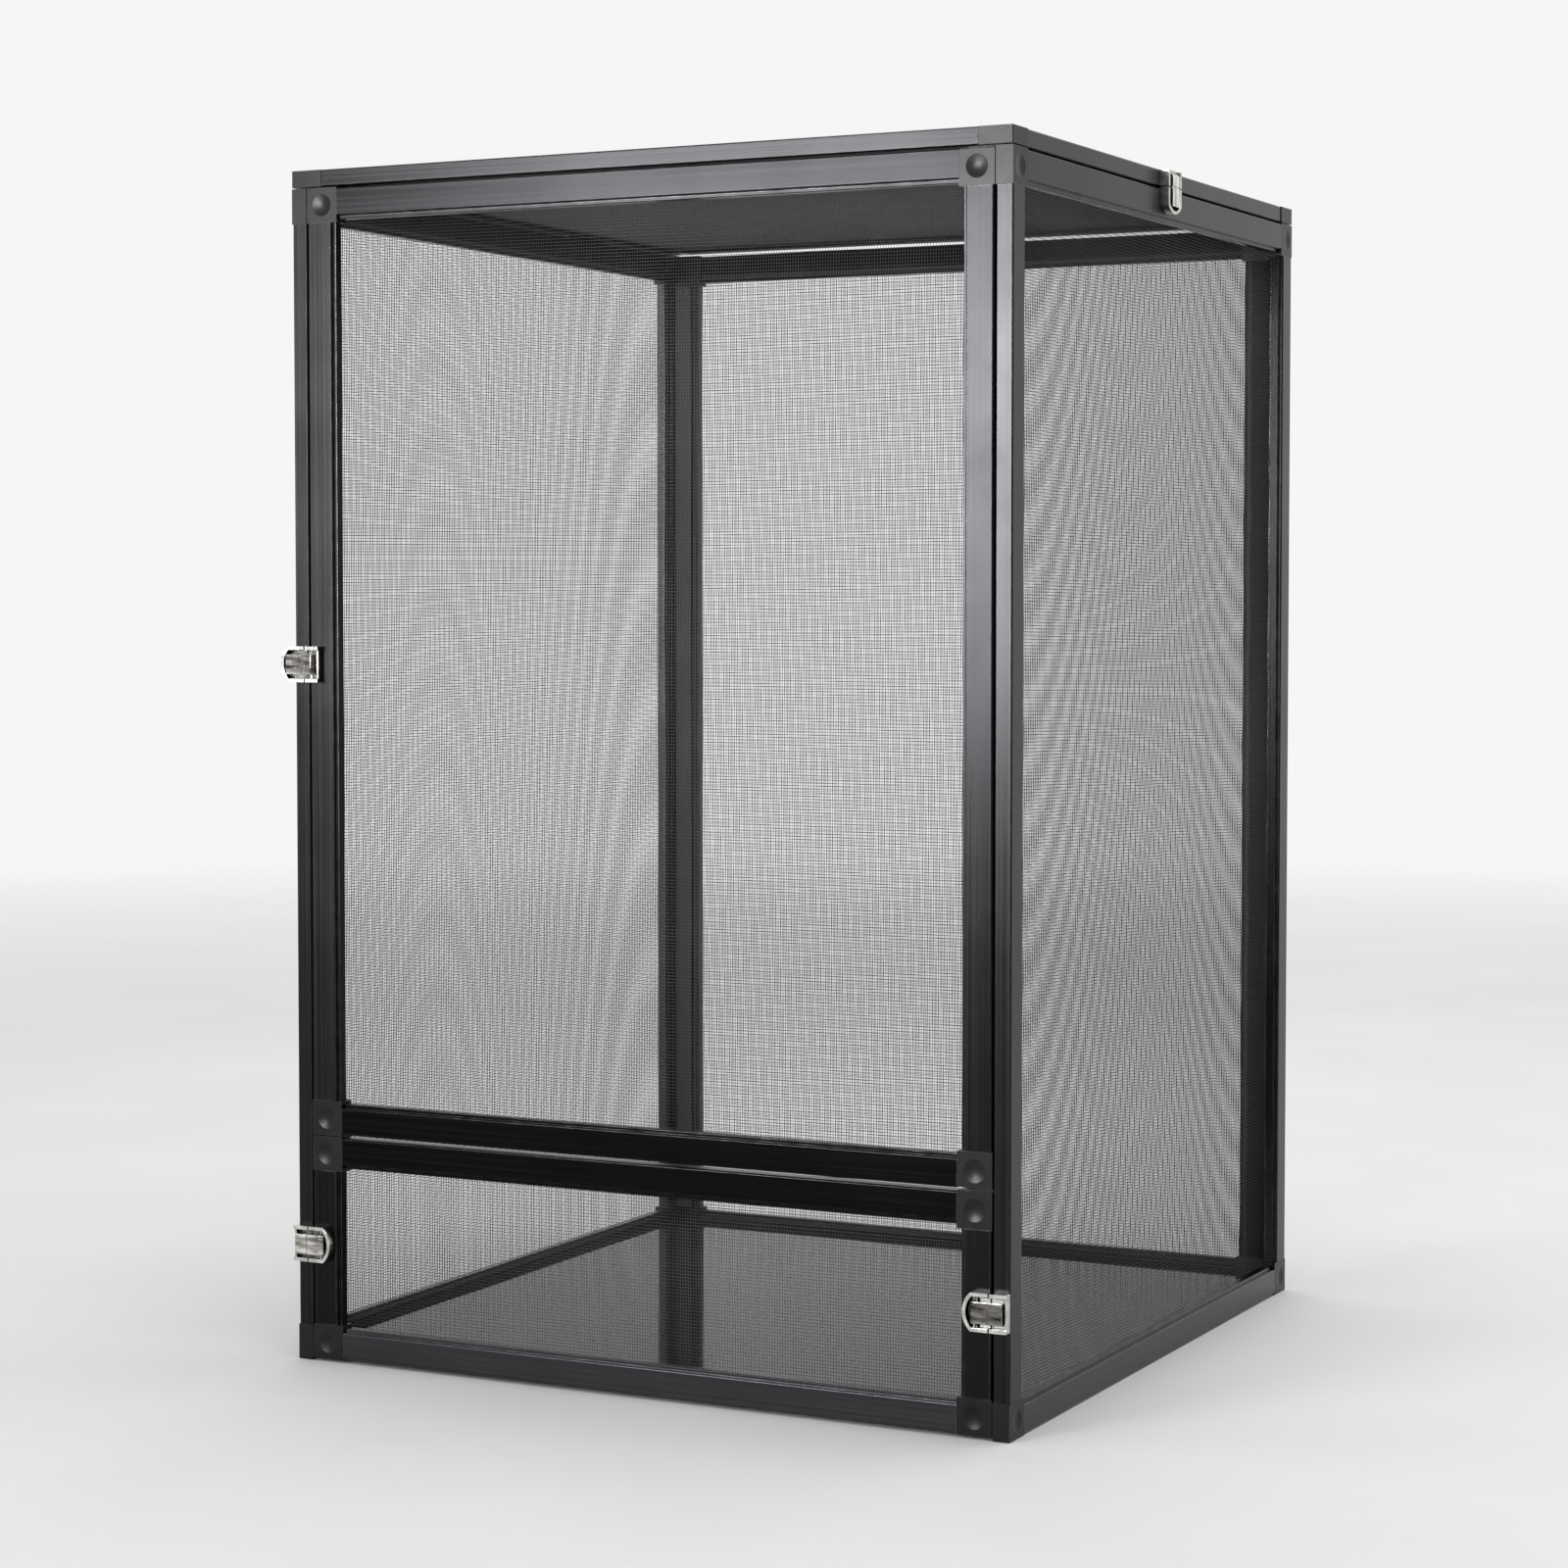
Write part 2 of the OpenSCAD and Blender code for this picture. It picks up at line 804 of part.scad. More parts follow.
// A lever from its pivot to its free end, hollow underneath, with a line across it at the seam
module lever(pivot, free_end) {
    way = sign(free_end - pivot);
    hollow_from = pivot + way * (lever_r + latch_sheet);
    hollow_to = free_end - way * latch_sheet;
    hollow_w = lever_w - 2 * latch_sheet;
    difference() {
        rotate([90, 0, 0])
            linear_extrude(lever_w, center = true) {
                translate([pivot, lever_pin_h]) circle(lever_r);
                translate([min(pivot, free_end), lever_low]) square([abs(free_end - pivot), 2 * lever_r]);
            }
        lever_bore(pivot);
        translate([min(hollow_from, hollow_to), -hollow_w / 2, lever_low - overcut])
            cube([abs(hollow_to - hollow_from), hollow_w, 2 * lever_r - latch_sheet + overcut]);
        translate([-score_w / 2, -lever_w / 2 - overcut, latch_h - score_depth])
            cube([score_w, lever_w + 2 * overcut, score_depth + overcut]);
    }
}

module lever_bore(pivot) {
    translate([pivot, lever_w / 2 + overcut, lever_pin_h])
        rotate([90, 0, 0])
            cylinder(h = lever_w + 2 * overcut, d = lever_pin_d + 2 * pin_play);
}

module fixed_latch_plates() {
    color(nickel_color) {
        at_door_latch() {
            round_plate(door_latch_round_l);
            latch_seat(1);
        }
        at_flap_left_latch() edge_plate();
        at_flap_right_latch() edge_plate();
        at_lid_latch() round_plate(latch_round_l);
    }
}

module edge_plate() {
    straight_plate(latch_edge_l);
    latch_seat(-1);
}

module upper_door_latch_plate() {
    color(nickel_color) at_door_latch() {
        straight_plate(door_latch_straight_l);
        lever_pin(straight_pivot(door_latch_straight_l));
    }
}

module flap_latch_plate() {
    round_plate(latch_round_l);
    lever_pin(round_pivot(latch_round_l));
}

module flap_latch_plates() {
    color(nickel_color) {
        at_flap_left_latch() flap_latch_plate();
        at_flap_right_latch() flap_latch_plate();
    }
}

module lid_latch_plate() {
    color(nickel_color) at_lid_latch() {
        edge_plate();
        lever_pin(straight_pivot(latch_edge_l));
    }
}

module upper_door_latch_lever() {
    color(nickel_color) at_door_latch()
        lever(straight_pivot(door_latch_straight_l), round_stop(door_latch_round_l));
}

module flap_lever() {
    lever(round_pivot(latch_round_l), -straight_stop(latch_edge_l));
}

module flap_left_latch_lever() {
    color(nickel_color) at_flap_left_latch() flap_lever();
}

module flap_right_latch_lever() {
    color(nickel_color) at_flap_right_latch() flap_lever();
}

module lid_latch_lever() {
    color(nickel_color) at_lid_latch()
        lever(straight_pivot(latch_edge_l), round_stop(latch_round_l));
}

left_panel_top_rail();
left_panel_bottom_rail();
left_panel_front_stile();
left_panel_back_stile();
left_panel_corners();
left_panel_mesh();
right_panel_top_rail();
right_panel_bottom_rail();
right_panel_front_stile();
right_panel_back_stile();
right_panel_corners();
right_panel_mesh();
back_panel_top_rail();
back_panel_bottom_rail();
back_panel_left_stile();
back_panel_right_stile();
back_panel_corners();
back_panel_mesh();
floor_front_rail();
floor_back_rail();
floor_left_rail();
floor_right_rail();
floor_corners();
floor_mesh();
floor_board();
fixed_panel_splines();
lid_front_rail();
lid_back_rail();
lid_left_rail();
lid_right_rail();
lid_corners();
lid_mesh();
lid_splines();
upper_door_top_rail();
upper_door_bottom_rail();
upper_door_left_stile();
upper_door_right_stile();
upper_door_corners();
upper_door_mesh();
upper_door_splines();
flap_top_rail();
flap_bottom_rail();
flap_left_stile();
flap_right_stile();
flap_corners();
flap_mesh();
flap_splines();
upper_door_pivots();
flap_pivot_pins();
lid_hinge_fixed_leaves();
lid_hinge_moving_leaves();
lid_hinge_pins();
fixed_latch_plates();
upper_door_latch_plate();
flap_latch_plates();
lid_latch_plate();
upper_door_latch_lever();
flap_left_latch_lever();
flap_right_latch_lever();
lid_latch_lever();
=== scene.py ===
"""Mesh reptile cage: woven screens, materials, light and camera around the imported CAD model.

Lengths are in metres, in the frame of the CAD model: X to the right, Y to the back, Z up.
"""

import json
import math

import bpy
from mathutils import Matrix, Vector

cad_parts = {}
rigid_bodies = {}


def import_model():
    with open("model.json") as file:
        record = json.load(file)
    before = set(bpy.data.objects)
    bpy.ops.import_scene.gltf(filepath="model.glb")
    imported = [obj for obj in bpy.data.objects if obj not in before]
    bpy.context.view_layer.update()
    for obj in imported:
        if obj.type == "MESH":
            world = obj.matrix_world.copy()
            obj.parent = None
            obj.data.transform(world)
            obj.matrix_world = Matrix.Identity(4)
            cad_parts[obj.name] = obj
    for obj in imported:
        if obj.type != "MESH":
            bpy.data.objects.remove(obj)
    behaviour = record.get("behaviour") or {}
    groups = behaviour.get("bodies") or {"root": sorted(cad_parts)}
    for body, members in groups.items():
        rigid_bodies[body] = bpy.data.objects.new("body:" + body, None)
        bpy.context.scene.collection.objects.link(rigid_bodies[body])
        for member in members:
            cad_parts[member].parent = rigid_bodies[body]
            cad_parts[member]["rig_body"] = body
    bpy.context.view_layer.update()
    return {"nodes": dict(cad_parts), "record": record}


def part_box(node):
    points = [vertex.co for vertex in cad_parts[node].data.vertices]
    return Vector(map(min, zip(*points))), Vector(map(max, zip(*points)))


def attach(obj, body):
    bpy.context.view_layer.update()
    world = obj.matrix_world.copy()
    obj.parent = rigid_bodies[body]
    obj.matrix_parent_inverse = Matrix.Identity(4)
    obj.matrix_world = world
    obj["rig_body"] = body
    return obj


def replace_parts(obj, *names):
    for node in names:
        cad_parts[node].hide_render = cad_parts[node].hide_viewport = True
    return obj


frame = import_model()

MM = 0.001

# Camera at the photograph's angle
CAMERA_PLACE = Vector((0.810, -1.637, 0.3894))
CAMERA_PAN = math.radians(26.81)
CAMERA_TILT = math.radians(-2.61)
CAMERA_LENS = 79.3
CAMERA_SHIFT_Y = -0.022

# Woven screen
WIRE_D = 0.24 * MM
WIRE_SIDES = 6
# How far the two directions of wire lie apart in depth, centre to centre
WIRE_LAYER = 0.2 * MM
# Squares at a screen's corners that the caps take up
CORNER_CUT = 2.95 * MM
# Each screen's weave: the pitch of the wires that run along its first axis and along its second, and
# how far the cloth is out of true in degrees, which is never 0. The cloth lies on its side in the left
# panel and is pulled tight in the right one.
WEAVES = {
    "left_panel_mesh": (1.41 * MM, 1.59 * MM, 0.45),
    "right_panel_mesh": (1.59 * MM, 1.33 * MM, -1.36),
    "back_panel_mesh": (1.59 * MM, 1.41 * MM, 0.6),
    "floor_mesh": (1.59 * MM, 1.41 * MM, 0.3),
    "lid_mesh": (1.59 * MM, 1.41 * MM, -0.5),
    "upper_door_mesh": (1.59 * MM, 1.41 * MM, -0.4),
    "flap_mesh": (1.59 * MM, 1.41 * MM, 0.35),
}

# Screws of the lid hinges
SCREW_HEAD_R = 1.7 * MM
SCREW_HEAD_H = 0.6 * MM
SCREW_ROUNDING = 0.2 * MM
SCREW_STEPS = 40
SCREW_SLOT_W = 0.5 * MM
SCREW_SLOT_L = 2.0 * MM
SCREW_SPACING = 24 * MM
HINGE_SPACING = 200 * MM
LEAF_FACE_X = -197 * MM
SCREW_HEIGHTS = {
    "lid_hinge_fixed_leaves": 583.95 * MM,
    "lid_hinge_moving_leaves": 596.5 * MM,
}

# The way into the cage from each panel
INWARD = {
    "left_panel": (1, 0, 0),
    "right_panel": (-1, 0, 0),
    "back_panel": (0, -1, 0),
    "floor": (0, 0, 1),
    "lid": (0, 0, -1),
    "upper_door": (0, 1, 0),
    "flap": (0, 1, 0),
}

# Anodised tones: darkest, palest and inner side
# The inner side's tone goes on the faces that look into the cage: painted shade, darker than the
# outside, except on the greyish rails, where it is paler
RAIL_TONES = {
    "plain": ((0.0098, 0.0098, 0.0105), (0.0157, 0.0157, 0.0167), (0.0060, 0.0060, 0.0065)),
    "deep": ((0.0046, 0.0046, 0.0050), (0.0072, 0.0072, 0.0078), (0.0050, 0.0050, 0.0054)),
    "bright": ((0.0140, 0.0140, 0.0149), (0.0224, 0.0224, 0.0236), (0.0060, 0.0060, 0.0065)),
    "dusty": ((0.036, 0.036, 0.0396), (0.055, 0.055, 0.0600), (0.062, 0.062, 0.0672)),
}
# Rails with tones of their own: the lid rails and the front stiles are brighter, a painted highlight;
# the door's bottom rail and the flap's top rail are darker, painted shade; the back-left post is
# greyish
RAIL_KINDS = {
    "upper_door_bottom_rail": "deep",
    "flap_top_rail": "deep",
    "upper_door_left_stile": "bright",
    "left_panel_front_stile": "bright",
    "right_panel_front_stile": "bright",
    "lid_front_rail": "bright",
    "lid_back_rail": "bright",
    "lid_left_rail": "bright",
    "lid_right_rail": "bright",
    "left_panel_back_stile": "dusty",
    "back_panel_left_stile": "dusty",
}
# Rails that end below this height are greyish too
GREYISH_BELOW = 20 * MM

# Wire of all screens or of one: material's name, darkest and palest coating, and share of dust. The
# right panel's wire is darker and has less dust, painted shade on that side of the cage.
WIRE_TONES = {
    "screen": ("coated_wire", (0.028, 0.028, 0.0287), (0.050, 0.050, 0.051), 0.5),
    "right_panel_mesh": ("shaded_side_wire", (0.009, 0.009, 0.0092), (0.018, 0.018, 0.0184), 0.1),
}

# Nickel of the plates and of each lever: material's name, cells to a metre along each axis of the haze
# and of the painted reflection bands, darkest and palest tone
# Each lever's own tones and stretched bands are painted reflection: dark on the door lever and the
# right flap lever, bright on the left flap lever and the lid lever
NICKEL_TONES = {
    "nickel_latch": ("plated_nickel", (260, 260, 260), (0.44, 0.43, 0.405), (0.66, 0.65, 0.615)),
    "upper_door_latch_lever": ("door_lever", (70, 70, 300), (0.025, 0.023, 0.02), (0.17, 0.164, 0.153)),
    "flap_left_latch_lever": ("left_lever", (70, 70, 300), (0.16, 0.15, 0.135), (0.85, 0.83, 0.78)),
    "flap_right_latch_lever": ("right_lever", (70, 70, 300), (0.03, 0.027, 0.024), (0.26, 0.25, 0.23)),
    "lid_latch_lever": ("lid_lever", (300, 300, 70), (0.35, 0.34, 0.31), (0.85, 0.83, 0.79)),
}

# Where most values of a noise texture lie
NOISE_LOW = 0.3
NOISE_HIGH = 0.7
# Places of the colours among the sockets of a mix node
MIX_BASE = 6
MIX_OVER = 7
MIX_RESULT = 2

# Rounding of the CAD edges: width and number of steps
EDGES = {
    "frame_rail": (0.15 * MM, 2),
    "corner_cap": (0.35 * MM, 3),
    "nickel_latch": (0.2 * MM, 3),
    "steel_hinge": (0.12 * MM, 2),
    "black_steel": (0.1 * MM, 2),
    "floor_board": (0.4 * MM, 3),
    "spline": (0.2 * MM, 2),
}
EDGE_ANGLE = math.radians(35)
# CAD corners closer than this are one corner
WELD_DISTANCE = 0.001 * MM

# Studio
FLOOR_R = 3.2
FLOOR_FADE = 1.4
FLOOR_STEPS = 96
FLOOR_DROP = 0.2 * MM
WORLD_COLOR = (0.92, 0.92, 0.92, 1)
WORLD_STRENGTH = 1.0
# Soft lights: place, the point that they face, width and height, power in watts, spread in degrees
LIGHTS = {
    "key": ((-0.60, -1.64, 0.54), (0.05, -0.19, 0.47), (0.62, 0.48), 3.1, 50),
    "overhead": ((0.2, 0.3, 2.4), (0, 0, 0), (1.8, 1.8), 36, 180),
}


# Nodes of the materials

def add_node(tree, kind, **values):
    """A new node, with input values given by name (an underscore stands for a space)."""
    made = tree.nodes.new(kind)
    for name, value in values.items():
        made.inputs[name.replace("_", " ")].default_value = value
    return made


def new_material(name):
    """A material with one principled surface, its tree and that surface."""
    material = bpy.data.materials.new(name)
    material.use_nodes = True
    tree = material.node_tree
    return material, tree, tree.nodes["Principled BSDF"]


def local_place(tree, scale=(1, 1, 1)):
    """The point on the piece in metres, times a scale for each axis."""
    coords = add_node(tree, "ShaderNodeTexCoord")
    mapping = add_node(tree, "ShaderNodeMapping", Scale=scale)
    tree.links.new(coords.outputs["Object"], mapping.inputs["Vector"])
    return mapping.outputs["Vector"]


def noise(tree, place, scale, detail=2.0, roughness=0.5):
    """Noise from 0 to 1 with its cells 1 / scale apart."""
    made = add_node(tree, "ShaderNodeTexNoise", Scale=scale, Detail=detail, Roughness=roughness)
    tree.links.new(place, made.inputs["Vector"])
    return made.outputs["Fac"]


def remap(tree, value, low, high, to_low, to_high):
    """Values from low to high stretched to to_low .. to_high, held at both ends."""
    limits = {"From_Min": low, "From_Max": high, "To_Min": to_low, "To_Max": to_high}
    made = add_node(tree, "ShaderNodeMapRange", **limits)
    tree.links.new(value, made.inputs["Value"])
    return made.outputs["Result"]


def from_noise(tree, value, low, high):
    """A noise stretched to the values from low to high."""
    return remap(tree, value, NOISE_LOW, NOISE_HIGH, low, high)


def join(tree, operation, one, other):
    """Two varying values joined by an operation of the math node."""
    made = add_node(tree, "ShaderNodeMath")
    made.operation = operation
    tree.links.new(one, made.inputs[0])
    tree.links.new(other, made.inputs[1])
    return made.outputs["Value"]


def plus(tree, one, other):
    return join(tree, "ADD", one, other)


def color_between(tree, value, low, high, start=NOISE_LOW, stop=NOISE_HIGH):
    """A colour that runs from low to high as the value goes from start to stop."""
    made = add_node(tree, "ShaderNodeValToRGB")
    made.color_ramp.elements[0].position = start
    made.color_ramp.elements[1].position = stop
    made.color_ramp.elements[0].color = (*low, 1)
    made.color_ramp.elements[1].color = (*high, 1)
    tree.links.new(value, made.inputs["Fac"])
    return made.outputs["Color"]


def color_over(tree, base, over, amount):
    """The base colour with a plain colour laid over it by an amount from 0 to 1."""
    made = add_node(tree, "ShaderNodeMix")
    made.data_type = "RGBA"
    tree.links.new(amount, made.inputs["Factor"])
    tree.links.new(base, made.inputs[MIX_BASE])
    made.inputs[MIX_OVER].default_value = (*over, 1)
    return made.outputs[MIX_RESULT]


def edge_wear_and_highlight(tree, width, place):
    """1 on rubbed edges, 0 on open faces, broken up by noise; on the rails and the nickel the edges
    also take a painted highlight.
    """
    rounded = add_node(tree, "ShaderNodeBevel", Radius=width)
    rounded.samples = 4
    shape = add_node(tree, "ShaderNodeNewGeometry")
    facing = add_node(tree, "ShaderNodeVectorMath")
    facing.operation = "DOT_PRODUCT"
    tree.links.new(rounded.outputs["Normal"], facing.inputs[0])
    tree.links.new(shape.outputs["Normal"], facing.inputs[1])
    edge = remap(tree, facing.outputs["Value"], 0.995, 0.90, 0, 1)
    patches = remap(tree, noise(tree, place, 140, 3), 0.35, 0.65, 0.15, 1)
    return join(tree, "MULTIPLY", edge, patches)


def recesses(tree, reach):
    """1 deep in narrow places, 0 in the open."""
    shade = add_node(tree, "ShaderNodeAmbientOcclusion", Distance=reach)
    shade.samples = 6
    return remap(tree, shade.outputs["AO"], 0.4, 0.92, 0.92, 0)


def inner_side(tree, inward):
    """1 on faces that look into the cage, 0 on the others."""
    coords = add_node(tree, "ShaderNodeTexCoord")
    facing = add_node(tree, "ShaderNodeVectorMath")
    facing.operation = "DOT_PRODUCT"
    tree.links.new(coords.outputs["Normal"], facing.inputs[0])
    facing.inputs[1].default_value = inward
    return remap(tree, facing.outputs["Value"], 0.6, 0.9, 0, 1)


def bump(tree, surface, height, depth):
    """Fine relief in the surface, as deep as given."""
    made = add_node(tree, "ShaderNodeBump", Strength=1.0, Distance=depth)
    tree.links.new(height, made.inputs["Height"])
    tree.links.new(made.outputs["Normal"], surface.inputs["Normal"])


# Materials

def anodised_rail(panel, axis, kind):
    """Black anodised extrusion: lines along it, satin grain, paler rubbed edges that also carry a
    painted highlight, and a duller inner side whose tone is painted shade on most rails.
    """
    material, tree, surface = new_material(f"{panel}_{kind}_rail_{'xyz'[axis]}")
    place = local_place(tree)
    line_scale = [900, 900, 900]
    line_scale[axis] = 3
    lines = noise(tree, local_place(tree, line_scale), 1, 3)
    grain = noise(tree, place, 2600, 1)
    clouds = noise(tree, place, 22, 3)
    wear_and_highlight = edge_wear_and_highlight(tree, 0.5 * MM, place)
    inside = inner_side(tree, INWARD[panel])

    dark, pale, inner = RAIL_TONES[kind]
    # Painted shade: faces that look into the cage take the darker inner tone (paler on the greyish
    # rails)
    tone = color_over(tree, color_between(tree, lines, dark, pale), inner, inside)
    # Paler edges: partly wear, partly a painted highlight
    worn_and_highlit = color_over(tree, tone, (0.16, 0.16, 0.166), wear_and_highlight)
    tree.links.new(worn_and_highlit, surface.inputs["Base Color"])
    rough = plus(tree, from_noise(tree, clouds, 0.22, 0.28), from_noise(tree, lines, -0.03, 0.03))
    rough = plus(tree, rough, remap(tree, inside, 0, 1, 0, 0.3))
    tree.links.new(rough, surface.inputs["Roughness"])
    height = plus(tree, lines, remap(tree, grain, 0, 1, 0, 0.8))
    bump(tree, surface, height, 0.006 * MM)
    surface.inputs["Metallic"].default_value = 1.0
    return material


def moulded_cap():
    """Black moulded plastic with a fine spark-eroded grain."""
    material, tree, surface = new_material("moulded_cap")
    place = local_place(tree)
    grain = noise(tree, place, 3000, 2)
    clouds = noise(tree, place, 60, 3)
    wear_and_highlight = edge_wear_and_highlight(tree, 0.6 * MM, place)

    tone = color_between(tree, clouds, (0.004, 0.004, 0.0042), (0.007, 0.007, 0.0072))
    worn_and_highlit = color_over(tree, tone, (0.03, 0.03, 0.031), wear_and_highlight)
    tree.links.new(worn_and_highlit, surface.inputs["Base Color"])
    rough = plus(tree, from_noise(tree, clouds, 0.27, 0.33), from_noise(tree, grain, -0.02, 0.04))
    tree.links.new(rough, surface.inputs["Roughness"])
    bump(tree, surface, grain, 0.004 * MM)
    surface.inputs["Specular IOR Level"].default_value = 0.2
    return material


def coated_wire(name, dark, pale, dust_share):
    """Dark coated screen wire with slightly uneven coating and dust."""
    material, tree, surface = new_material(name)
    place = local_place(tree)
    coating = noise(tree, place, 900, 2)
    dust = noise(tree, place, 30, 4)

    tone = color_between(tree, coating, dark, pale)
    dusty = color_over(tree, tone, (0.08, 0.08, 0.079), remap(tree, dust, 0.5, 0.75, 0, dust_share))
    tree.links.new(dusty, surface.inputs["Base Color"])
    tree.links.new(from_noise(tree, coating, 0.38, 0.52), surface.inputs["Roughness"])
    bump(tree, surface, coating, 0.02 * MM)
    surface.inputs["Specular IOR Level"].default_value = 0.3
    return material


def polished_board():
    """Black polished plastic sheet: a clear mirror with wiping marks and a little dust."""
    material, tree, surface = new_material("polished_board")
    place = local_place(tree)
    wipes = noise(tree, local_place(tree, (14, 90, 60)), 1, 4)
    dust = noise(tree, place, 1400, 3)

    specks = remap(tree, dust, 0.62, 0.78, 0, 0.25)
    tone = color_between(tree, wipes, (0.006, 0.006, 0.0063), (0.011, 0.011, 0.0115))
    dusty = color_over(tree, tone, (0.10, 0.10, 0.098), specks)
    tree.links.new(dusty, surface.inputs["Base Color"])
    rough = plus(tree, remap(tree, wipes, 0.35, 0.65, 0.04, 0.08), remap(tree, specks, 0, 0.25, 0, 0.1))
    tree.links.new(rough, surface.inputs["Roughness"])
    bump(tree, surface, wipes, 0.004 * MM)
    surface.inputs["Specular IOR Level"].default_value = 0.3
    return material


def ribbed_rubber():
    """Black rubber cord with fine ribs and a dusty bloom."""
    material, tree, surface = new_material("ribbed_rubber")
    place = local_place(tree)
    ribs = add_node(tree, "ShaderNodeTexWave", Scale=160, Distortion=0.4)
    ribs.bands_direction = "DIAGONAL"
    tree.links.new(place, ribs.inputs["Vector"])
    bloom = noise(tree, place, 120, 4)

    tone = color_between(tree, bloom, (0.010, 0.010, 0.010), (0.026, 0.026, 0.025))
    tree.links.new(tone, surface.inputs["Base Color"])
    tree.links.new(from_noise(tree, bloom, 0.55, 0.72), surface.inputs["Roughness"])
    bump(tree, surface, ribs.outputs["Fac"], 0.08 * MM)
    return material


def plated_nickel(name, bands, dark, pale):
    """Nickel plate: hazy patches from handling, on the levers painted reflection in bands, hair
    scratches, bright edges that are partly rubbed and partly a painted highlight, and painted shade in
    the corners.
    """
    material, tree, surface = new_material(name)
    place = local_place(tree)
    scratches = noise(tree, local_place(tree, (2600, 2600, 240)), 1, 3)
    haze_and_reflections = noise(tree, local_place(tree, bands), 1, 4)
    wear_and_highlight = edge_wear_and_highlight(tree, 0.45 * MM, place)

    # On the levers these bands are painted reflection
    tone = color_between(tree, haze_and_reflections, dark, pale, 0.38, 0.62)
    # Bright edges: partly polish from wear, partly a painted highlight
    bright = color_over(tree, tone, (0.85, 0.84, 0.81), wear_and_highlight)
    # Painted shade: the nickel darkens to near black deep in recesses and corners
    shade_in_recesses = color_over(tree, bright, (0.04, 0.04, 0.038), recesses(tree, 4 * MM))
    tree.links.new(shade_in_recesses, surface.inputs["Base Color"])
    rough = plus(tree, from_noise(tree, haze_and_reflections, 0.14, 0.24), from_noise(tree, scratches, -0.03, 0.05))
    tree.links.new(rough, surface.inputs["Roughness"])
    bump(tree, surface, scratches, 0.006 * MM)
    surface.inputs["Metallic"].default_value = 1.0
    return material


def brushed_steel():
    """Zinc-coated hinge steel, brushed along the barrel."""
    material, tree, surface = new_material("brushed_steel")
    place = local_place(tree)
    strokes = noise(tree, local_place(tree, (1800, 40, 1800)), 1, 3)
    spangle = noise(tree, place, 320, 3)
    wear_and_highlight = edge_wear_and_highlight(tree, 0.3 * MM, place)

    tone = color_between(tree, spangle, (0.36, 0.36, 0.35), (0.52, 0.52, 0.51))
    bright = color_over(tree, tone, (0.68, 0.68, 0.67), wear_and_highlight)
    tree.links.new(bright, surface.inputs["Base Color"])
    rough = plus(tree, from_noise(tree, spangle, 0.28, 0.40), from_noise(tree, strokes, -0.05, 0.05))
    tree.links.new(rough, surface.inputs["Roughness"])
    bump(tree, surface, strokes, 0.008 * MM)
    surface.inputs["Metallic"].default_value = 1.0
    return material


def blackened_steel():
    """Dark oxide on pivot steel, rubbed bright where it turns."""
    material, tree, surface = new_material("blackened_steel")
    place = local_place(tree)
    oxide = noise(tree, place, 500, 4)
    rubbed = noise(tree, local_place(tree, (700, 700, 90)), 1, 3)
    wear_and_highlight = edge_wear_and_highlight(tree, 0.2 * MM, place)

    tone = color_between(tree, oxide, (0.010, 0.010, 0.0105), (0.024, 0.024, 0.025))
    worn_and_highlit = color_over(tree, tone, (0.10, 0.10, 0.098), wear_and_highlight)
    tree.links.new(worn_and_highlit, surface.inputs["Base Color"])
    tree.links.new(from_noise(tree, rubbed, 0.36, 0.5), surface.inputs["Roughness"])
    bump(tree, surface, oxide, 0.01 * MM)
    surface.inputs["Metallic"].default_value = 1.0
    return material


def pale_floor():
    """Matte pale studio floor with faint mottling."""
    material, tree, surface = new_material("pale_floor")
    place = local_place(tree)
    mottle = noise(tree, place, 5, 4)
    grain = noise(tree, place, 700, 2)

    tone = color_between(tree, mottle, (0.57, 0.57, 0.57), (0.60, 0.60, 0.595))
    tree.links.new(tone, surface.inputs["Base Color"])
    tree.links.new(from_noise(tree, grain, 0.7, 0.8), surface.inputs["Roughness"])
    bump(tree, surface, grain, 0.05 * MM)
    surface.inputs["Specular IOR Level"].default_value = 0.2

    distance = add_node(tree, "ShaderNodeVectorMath")
    distance.operation = "LENGTH"
    tree.links.new(place, distance.inputs[0])
    fade = remap(tree, distance.outputs["Value"], FLOOR_FADE, FLOOR_R, 1, 0)
    tree.links.new(fade, surface.inputs["Alpha"])
    return material


def make_finishes():
    """The materials, by the slot or the node that they are for."""
    finishes = {
        "corner_cap": moulded_cap(),
        "floor_board": polished_board(),
        "spline": ribbed_rubber(),
        "steel_hinge": brushed_steel(),
        "black_steel": blackened_steel(),
    }
    for slot, tones in WIRE_TONES.items():
        finishes[slot] = coated_wire(*tones)
    for slot, tones in NICKEL_TONES.items():
        finishes[slot] = plated_nickel(*tones)
    return finishes


# Pieces

def longest_axis(node):
    """The axis along which a node is longest, as 0, 1 or 2."""
    low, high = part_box(node)
    sides = high - low
    return max(range(3), key=lambda axis: sides[axis])


def soften_edges(piece, width, steps):
    """Join the CAD faces and round their sharp edges, in modifiers only."""
    weld = piece.modifiers.new("weld", "WELD")
    weld.merge_threshold = WELD_DISTANCE
    rounding = piece.modifiers.new("rounding", "BEVEL")
    rounding.width = width
    rounding.segments = steps
    rounding.limit_method = "ANGLE"
    rounding.angle_limit = EDGE_ANGLE
    rounding.miter_outer = "MITER_ARC"


def even_shading(piece):
    """Shade by the faces' size, so that the middle of a cap's dimple is as smooth as its rim."""
    even = piece.modifiers.new("even_shading", "WEIGHTED_NORMAL")
    even.keep_sharp = True


def panel_of(node):
    """The panel that a node's name starts with."""
    return next(panel for panel in INWARD if node.startswith(panel))


